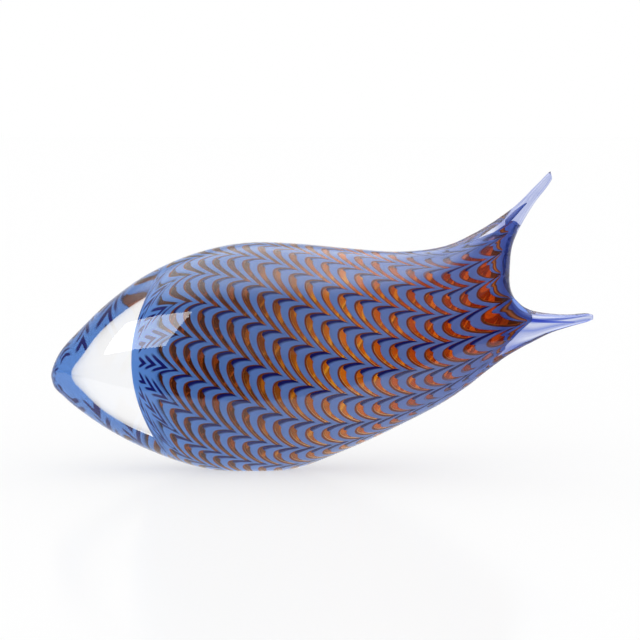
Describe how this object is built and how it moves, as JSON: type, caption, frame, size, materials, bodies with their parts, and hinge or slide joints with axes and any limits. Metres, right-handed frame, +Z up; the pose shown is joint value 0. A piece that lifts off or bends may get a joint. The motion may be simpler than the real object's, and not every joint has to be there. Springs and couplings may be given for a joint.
{
  "type": "glass fish figurine",
  "caption": "Blown glass fish with a forked tail: amber bubble, combed blue threads and a thick clear casing, ground flat to stand.",
  "frame": {"origin": "centre of the flat ground foot under the belly", "axes": "+X from nose to tail, +Y across the body, +Z up from the foot"},
  "size_m": [0.3798, 0.0982, 0.2092],
  "materials": {
    "clear_glass": "fire-polished clear glass",
    "amber_glass": "transparent amber glass",
    "blue_glass": "opaque blue glass"
  },
  "bodies": {
    "root": {"clear_casing": "clear_glass", "upper_tail_fin": "clear_glass", "lower_tail_fin": "clear_glass", "amber_bubble": "amber_glass", "upper_fin_core": "blue_glass", "lower_fin_core": "blue_glass", "blue_cap": "blue_glass", "blue_thread_01": "blue_glass", "blue_thread_02": "blue_glass", "blue_thread_03": "blue_glass", "blue_thread_04": "blue_glass", "blue_thread_05": "blue_glass", "blue_thread_06": "blue_glass", "blue_thread_07": "blue_glass", "blue_thread_08": "blue_glass", "blue_thread_09": "blue_glass", "blue_thread_10": "blue_glass", "blue_thread_11": "blue_glass", "blue_thread_12": "blue_glass", "blue_thread_13": "blue_glass", "blue_thread_14": "blue_glass", "blue_thread_15": "blue_glass", "blue_thread_16": "blue_glass", "blue_thread_17": "blue_glass", "blue_thread_18": "blue_glass", "blue_thread_19": "blue_glass", "blue_thread_20": "blue_glass"}
  },
  "joints": []
}
